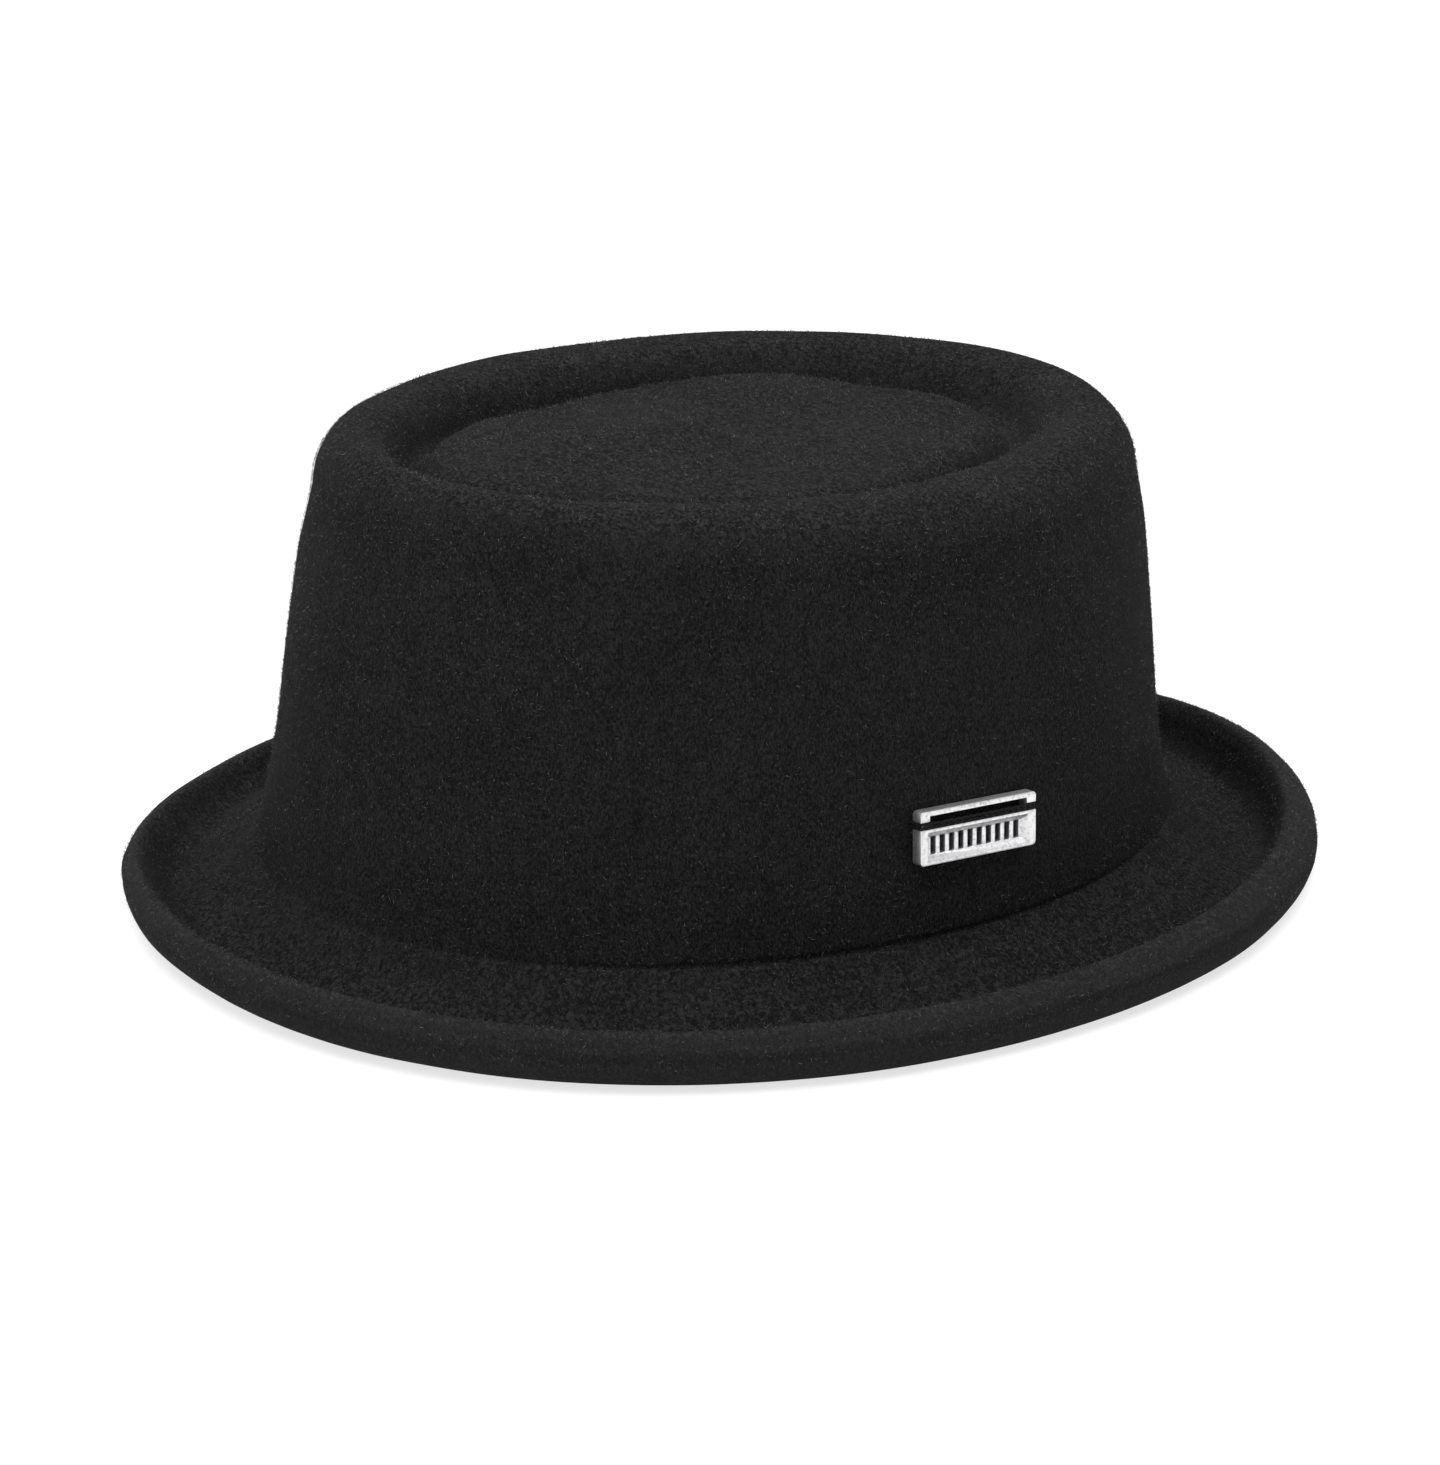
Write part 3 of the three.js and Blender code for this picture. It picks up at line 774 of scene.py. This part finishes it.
def strand_tree():
    """A two-strand cord laid twice, side by side, along a closed path in the plane Y = constant"""
    tree, given = geometry_tree("Strands", [
        ("Radius", "Float"), ("Turns", "Float"), ("Material", "Material")])
    path = add_node(tree, "GeometryNodeResampleCurve", inputs={
        "Curve": given["Geometry"], "Count": CORD_POINTS}).outputs[0]
    factor = add_node(tree, "GeometryNodeSplineParameter").outputs["Factor"]
    tangent = add_node(tree, "GeometryNodeInputTangent").outputs[0]
    across = add_node(tree, "ShaderNodeVectorMath", {"operation": "CROSS_PRODUCT"}, {
        0: tangent, 1: (0, 1, 0)}).outputs[0]
    profile = add_node(tree, "GeometryNodeCurvePrimitiveCircle", inputs={
        "Resolution": STRAND_SIDES, "Radius": given["Radius"]}).outputs[0]
    full = add_node(tree, "ShaderNodeMath", {"operation": "MULTIPLY"}, {
        0: given["Turns"], 1: 2 * math.pi}).outputs[0]
    strands = add_node(tree, "GeometryNodeJoinGeometry")
    for side, phase in ((-1, 0), (-1, math.pi), (1, 0), (1, math.pi)):
        twist = add_node(tree, "ShaderNodeMath", {"operation": "MULTIPLY_ADD"}, {
            0: factor, 1: full, 2: phase}).outputs[0]
        moved = path
        for trig, direction in (("COSINE", across), ("SINE", (0, 1, 0))):
            part = add_node(tree, "ShaderNodeMath", {"operation": trig}, {0: twist}).outputs[0]
            reach = add_node(tree, "ShaderNodeMath", {"operation": "MULTIPLY"}, {
                0: part, 1: given["Radius"]}).outputs[0]
            offset = add_node(tree, "ShaderNodeVectorMath", {"operation": "SCALE"}, {
                0: direction, "Scale": reach}).outputs[0]
            moved = add_node(tree, "GeometryNodeSetPosition", inputs={
                "Geometry": moved, "Offset": offset}).outputs[0]
        beside = add_node(tree, "ShaderNodeVectorMath", {"operation": "SCALE"}, {
            0: (0, 2 * side, 0), "Scale": given["Radius"]}).outputs[0]
        laid = add_node(tree, "GeometryNodeSetPosition", inputs={
            "Geometry": moved, "Offset": beside}).outputs[0]
        tube = add_node(tree, "GeometryNodeCurveToMesh", inputs={
            "Curve": laid, "Profile Curve": profile}).outputs[0]
        smooth = add_node(tree, "GeometryNodeSetShadeSmooth", inputs={"Geometry": tube}).outputs[0]
        tree.links.new(smooth, strands.inputs[0])
    close_tree(tree, strands.outputs[0], given["Material"])
    return tree


# How far apart, in radians and in shares of the wall's height, its slope is read under the badge
SLOPE_STEP = 0.01


def badge_matrix(felt, badge):
    """The badge's own frame on the crown's wall: X along the hat's side, Y up the wall, Z outward"""
    height = badge.above_crease / (felt.crown_height - felt.rim_drop)
    at = -badge.towards_front / (felt.head_length / 2)

    def point(turn, rise):
        return Vector(wall_ring(felt, np.array([turn]), rise)[0])

    along = (point(at + SLOPE_STEP, height) - point(at - SLOPE_STEP, height)).normalized()
    rising = point(at, height + SLOPE_STEP) - point(at, height - SLOPE_STEP)
    outward = along.cross(rising).normalized()
    up = outward.cross(along)
    turned = Matrix((along, up, outward)).transposed().to_4x4()
    seat = Matrix.Translation(point(at, height) + outward * badge.gap)
    return seat @ turned @ Matrix.Rotation(badge.tilt, 4, "Z")


def to_mesh(name, shape):
    """A bmesh as a mesh; the bmesh is freed"""
    mesh = bpy.data.meshes.new(name)
    shape.to_mesh(mesh)
    shape.free()
    return mesh


def rounded_outline(width, height, radius, steps):
    """Points of a rectangle with round corners"""
    outline = []
    for quarter, (x, y) in enumerate([(1, 1), (-1, 1), (-1, -1), (1, -1)]):
        centre = Vector((x * (width / 2 - radius), y * (height / 2 - radius)))
        for k in range(steps + 1):
            turn = (quarter + k / steps) * math.pi / 2
            outline.append(centre + radius * Vector((math.cos(turn), math.sin(turn))))
    return outline


def rounded_slab(badge):
    """The badge's slab with its round corners, standing on Z = 0, as a mesh"""
    slab = bmesh.new()
    outline = rounded_outline(badge.width, badge.height, badge.corner, 5)
    face = slab.faces.new([slab.verts.new(point.to_3d()) for point in outline])
    top = bmesh.ops.extrude_face_region(slab, geom=[face])["geom"]
    raised = [item for item in top if isinstance(item, bmesh.types.BMVert)]
    bmesh.ops.translate(slab, verts=raised, vec=(0, 0, badge.thickness))
    bmesh.ops.recalc_face_normals(slab, faces=slab.faces)
    return to_mesh("badge slab", slab)


def box_mesh(size, centre, flare):
    """A box as a mesh; flare grows its upper face by that much on each side"""
    box = bmesh.new()
    for vert in bmesh.ops.create_cube(box, size=1)["verts"]:
        grow = flare if vert.co.z > 0 else 0
        vert.co.x = math.copysign(size[0] / 2 + grow, vert.co.x) + centre[0]
        vert.co.y = math.copysign(size[1] / 2 + grow, vert.co.y) + centre[1]
        vert.co.z = math.copysign(size[2] / 2, vert.co.z) + centre[2]
    return to_mesh("badge cut", box)


def badge_heights(badge):
    """Heights inside the badge, measured from its middle: window's top, panel's top, waist's middle"""
    window_top = badge.height / 2 - badge.bar
    panel_top = window_top - badge.window
    return window_top, panel_top, panel_top + badge.waist / 2


def badge_cuts(badge):
    """What is cut out of the badge, as separate meshes so that each cut is a plain one"""
    window_top, panel_top, waist = badge_heights(badge)
    window = (window_top + panel_top) / 2
    panel = (panel_top - badge.height / 2) / 2
    field_width = badge.width - 2 * badge.side_border - 2 * badge.bevel
    field_height = panel_top + badge.height / 2 - 2 * badge.border - 2 * badge.bevel
    # Cuts go right through the casting, or stand out of its face so that no faces coincide
    through = 3 * badge.thickness
    sunk = badge.recess + badge.gap
    flare = sunk * badge.bevel / badge.recess
    boxes = [
        ((badge.width - 2 * badge.leg, badge.window, through), (0, window, 0), 0),
        ((field_width, field_height, sunk), (0, panel, badge.thickness - badge.recess + sunk / 2),
         flare),
    ]
    for side in (-1, 1):
        edge = (side * badge.width / 2, waist, 0)
        leg = (side * (badge.width - badge.leg) / 2, waist, badge.thickness)
        boxes.append(((2 * badge.waist_depth, badge.waist, through), edge, 0))
        boxes.append(((2 * badge.leg, badge.waist, 2 * badge.waist_depth), leg, 0))
    cuts = [box_mesh(*box) for box in boxes]
    pitch = field_width / badge.slots
    cuts.append(run_tree(helper_object("slots", bpy.data.meshes.new("slots")), slot_tree(), {
        "Count": badge.slots, "Pitch": pitch, "Start": (-pitch * (badge.slots - 1) / 2, panel, 0),
        "Size": (badge.slot, field_height, through)}))
    return cuts


def ring_of_cord(badge, cord, felt):
    """The cord's closed path in the badge's frame: over the face, through the felt and across inside"""
    waist = badge_heights(badge)[2]
    end = badge.width / 2 - badge.waist_depth + cord.gap + cord.strand
    front = badge.thickness - badge.waist_depth + cord.gap + cord.strand
    side_radius = felt.head_length ** 2 / (2 * felt.head_width)
    sag = (badge.width / 2) ** 2 / (2 * side_radius)
    back = -(badge.gap + sag + felt.wall + cord.slack)
    outline = rounded_outline(2 * end, front - back, cord.bend, 6)
    lift = (front + back) / 2
    curve = bpy.data.curves.new("cord path", "CURVE")
    curve.dimensions = "3D"
    spline = curve.splines.new("POLY")
    spline.points.add(len(outline) - 1)
    for point, (x, z) in zip(spline.points, outline):
        point.co = (x, waist, z + lift, 1)
    spline.use_cyclic_u = True
    return curve


class PORKPIE_OT_felt_body(bpy.types.Operator):
    """Makes the felt crown and brim, one blocked piece of felt"""
    bl_idname = "porkpie.felt_body"
    bl_label = "Felt body"

    def execute(self, context):
        felt = context.scene.porkpie_felt
        fine, normals, angles, lines = felt_face(felt)
        shaped = unevenness(press(fine, normals, lines, angles), normals)
        # The inside has half as many rings, one wall in from the smooth face
        inner = (fine - felt.wall * normals)[1:lines["lip"]:2][::-1]
        under = fine[0, 0] - [0, 0, felt.wall]
        mesh = loft("felt_body", np.concatenate([shaped[1:], inner]), shaped[0, 0].tolist(), under.tolist())
        rows = np.arange(len(shaped) - 1)
        # The lip's share of worn, evened grain and of painted light, which the felt's material reads
        begun = np.clip((rows - lines["worn_and_lit_from"]) / WEAR_AND_LIGHT_SETS_IN, 0, 1)
        left = np.clip((lines["worn_and_lit_to"] - rows) / WEAR_AND_LIGHT_ENDS, 0, 1)
        wear_and_light = np.zeros(len(mesh.vertices))
        wear_and_light[:len(rows) * felt.columns] = np.repeat(begun * left, felt.columns)
        mesh.attributes.new(LIP_WEAR_AND_LIGHT, "FLOAT", "POINT").data.foreach_set("value", wear_and_light)
        add_piece("felt_body_blocked", mesh, black_wool_felt(felt), "felt", "felt_body")
        return {"FINISHED"}


class PORKPIE_OT_nap(bpy.types.Operator):
    """Strews the loose fibres over the crown's top and wall and the brim"""
    bl_idname = "porkpie.nap"
    bl_label = "Loose fibres"

    def execute(self, context):
        felt = context.scene.porkpie_felt
        nap = context.scene.porkpie_nap
        fine, normals, angles, lines = felt_face(felt)
        face = press(fine, normals, lines, angles)
        tree = nap_tree()
        material = loose_wool(nap)
        # The brim's fibres end at its widest line, because the land under it lies on the floor
        grounds = (
            ("nap_top", 1, lines["shoulder"] + 1, nap.top_count),
            ("nap_wall", lines["shoulder"], lines["crease"] + 1, nap.wall_count),
            ("nap_brim", lines["crease"], lines["edge"] + 2, nap.brim_count),
        )
        for name, first, last, fibres in grounds:
            ground = helper_object(name + " ground", loft(name + " ground", face[first:last]))
            area = sum(polygon.area for polygon in ground.data.polygons)
            mesh = run_tree(ground, tree, {
                "Density": fibres / area, "Length": nap.fibre_length, "Radius": nap.fibre_width / 2,
                "Seed": nap.seed, "Material": material})
            add_piece(name, mesh, material, "felt")
        return {"FINISHED"}


# The casting's edges sharper than the first are rounded, and those below the second look smooth
ROUNDED_FROM = math.radians(28)
SMOOTH_BELOW = math.radians(40)


class PORKPIE_OT_badge(bpy.types.Operator):
    """Makes the cast badge: a bar on two legs over a panel with a sunk, pierced field"""
    bl_idname = "porkpie.badge"
    bl_label = "Badge"

    def execute(self, context):
        felt = context.scene.porkpie_felt
        badge = context.scene.porkpie_badge
        body = helper_object("badge slab", rounded_slab(badge))
        cuts = [helper_object("badge cut", mesh) for mesh in badge_cuts(badge)]
        for cut in cuts:
            carve = body.modifiers.new("carve", "BOOLEAN")
            carve.operation = "DIFFERENCE"
            carve.solver = "EXACT"
            carve.object = cut
        soften = body.modifiers.new("soften", "BEVEL")
        soften.width = badge.edge
        soften.segments = 2
        soften.limit_method = "ANGLE"
        soften.angle_limit = ROUNDED_FROM
        mesh = evaluated_mesh(body)
        for cut in cuts:
            bpy.data.objects.remove(cut)
        mesh.materials.clear()
        mesh.transform(badge_matrix(felt, badge))
        mesh.shade_smooth()
        mesh.set_sharp_from_angle(angle=SMOOTH_BELOW)
        add_piece("badge_casting", mesh, plated_casting(badge), "badge_metal", "badge")
        return {"FINISHED"}


class PORKPIE_OT_badge_cord(bpy.types.Operator):
    """Makes the two-strand cord that is sewn over the badge's waist"""
    bl_idname = "porkpie.badge_cord"
    bl_label = "Badge cord"

    def execute(self, context):
        felt = context.scene.porkpie_felt
        badge = context.scene.porkpie_badge
        cord = context.scene.porkpie_cord
        material = twisted_thread(cord)
        path = helper_object("cord path", ring_of_cord(badge, cord, felt))
        mesh = run_tree(path, strand_tree(), {
            "Radius": cord.strand / 2, "Turns": float(cord.turns), "Material": material})
        mesh.transform(badge_matrix(felt, badge))
        add_piece("badge_cord_twisted", mesh, material, "cord", "badge_cord")
        return {"FINISHED"}


# Stage, in metres: the middle of the hat that the lights are aimed at, and each light's place and size
LIT_POINT = (0, 0, 0.06)
TOP_LIGHT_PLACE = (-0.03, -0.02, 1.5)
TOP_LIGHT_SIZE = 2.2
FRONT_LIGHT_PLACE = (0.2, -1.5, 0.9)
FRONT_LIGHT_SIZE = 1.0
FLOOR_SIZE = 6
WHITE = (1, 1, 1, 1)


def area_light(name, place, size, power):
    """A soft round light of a given size, aimed at the hat"""
    light = bpy.data.lights.new(name, "AREA")
    light.shape = "DISK"
    light.size = size
    light.energy = power
    lamp = helper_object(name, light)
    lamp.location = place
    lamp.rotation_euler = (Vector(LIT_POINT) - Vector(place)).to_track_quat("-Z", "Y").to_euler()


class PORKPIE_OT_stage(bpy.types.Operator):
    """Sets up the camera, the pale floor and the soft studio light"""
    bl_idname = "porkpie.stage"
    bl_label = "Stage"

    def execute(self, context):
        scene = context.scene
        stage = scene.porkpie_stage
        back = Vector((math.sin(stage.azimuth) * math.cos(stage.elevation),
                       -math.cos(stage.azimuth) * math.cos(stage.elevation), math.sin(stage.elevation)))
        target = Vector((0, -middle(scene.porkpie_felt), stage.target_height))
        right = Vector((0, 0, 1)).cross(back).normalized()
        turned = Matrix((right, back.cross(right), back)).transposed().to_4x4()
        camera = helper_object("camera", bpy.data.cameras.new("camera"))
        camera.matrix_world = (Matrix.Translation(target + back * stage.distance) @ turned
                               @ Matrix.Rotation(stage.roll, 4, "Z"))
        camera.data.lens = stage.lens
        scene.camera = camera

        ground = bmesh.new()
        bmesh.ops.create_grid(ground, x_segments=1, y_segments=1, size=FLOOR_SIZE)
        floor = helper_object("floor", to_mesh("floor", ground))
        material, tree = new_material("pale matt shooting table lit from below")
        finish_material(tree, {
            "Base Color": stage.floor, "Roughness": 0.9, "Specular IOR Level": 0.1,
            "Emission Color": WHITE, "Emission Strength": stage.glow})
        floor.data.materials.append(material)

        world = bpy.data.worlds.new("studio")
        world.use_nodes = True
        sky = world.node_tree.nodes["Background"]
        sky.inputs["Color"].default_value = WHITE
        sky.inputs["Strength"].default_value = stage.sky
        scene.world = world
        area_light("top light", TOP_LIGHT_PLACE, TOP_LIGHT_SIZE, stage.top)
        area_light("front light", FRONT_LIGHT_PLACE, FRONT_LIGHT_SIZE, stage.front)
        scene.view_settings.view_transform = "Standard"
        return {"FINISHED"}


class PORKPIE_PT_sidebar(bpy.types.Panel):
    """Lists the hat's pieces and their sizes"""
    bl_idname = "PORKPIE_PT_sidebar"
    bl_label = "Porkpie Hat"
    bl_space_type = "VIEW_3D"
    bl_region_type = "UI"
    bl_category = "Porkpie Hat"

    def draw(self, context):
        for group, operators in PIECES:
            box = self.layout.box()
            for operator in operators:
                box.operator(operator.bl_idname)
            settings = getattr(context.scene, group)
            for name in settings.__annotations__:
                box.prop(settings, name)


GROUPS = {
    "porkpie_felt": PorkpieFelt,
    "porkpie_nap": PorkpieNap,
    "porkpie_badge": PorkpieBadge,
    "porkpie_cord": PorkpieCord,
    "porkpie_stage": PorkpieStage,
}
PIECES = (
    ("porkpie_stage", [PORKPIE_OT_stage]),
    ("porkpie_felt", [PORKPIE_OT_felt_body]),
    ("porkpie_nap", [PORKPIE_OT_nap]),
    ("porkpie_badge", [PORKPIE_OT_badge]),
    ("porkpie_cord", [PORKPIE_OT_badge_cord]),
)
OPERATORS = [operator for _, operators in PIECES for operator in operators]
CLASSES = (*GROUPS.values(), *OPERATORS, PORKPIE_PT_sidebar)


def register():
    """Registers the classes and gives each group its place in the scene"""
    for cls in CLASSES:
        bpy.utils.register_class(cls)
    for name, group in GROUPS.items():
        setattr(bpy.types.Scene, name, PointerProperty(type=group))


def unregister():
    """Takes back what register did"""
    for name in GROUPS:
        delattr(bpy.types.Scene, name)
    for cls in reversed(CLASSES):
        bpy.utils.unregister_class(cls)


def main():
    """Builds the hat and its stage"""
    register()
    bpy.ops.porkpie.stage()
    bpy.ops.porkpie.felt_body()
    bpy.ops.porkpie.nap()
    bpy.ops.porkpie.badge()
    bpy.ops.porkpie.badge_cord()


if __name__ == "__main__":
    main()
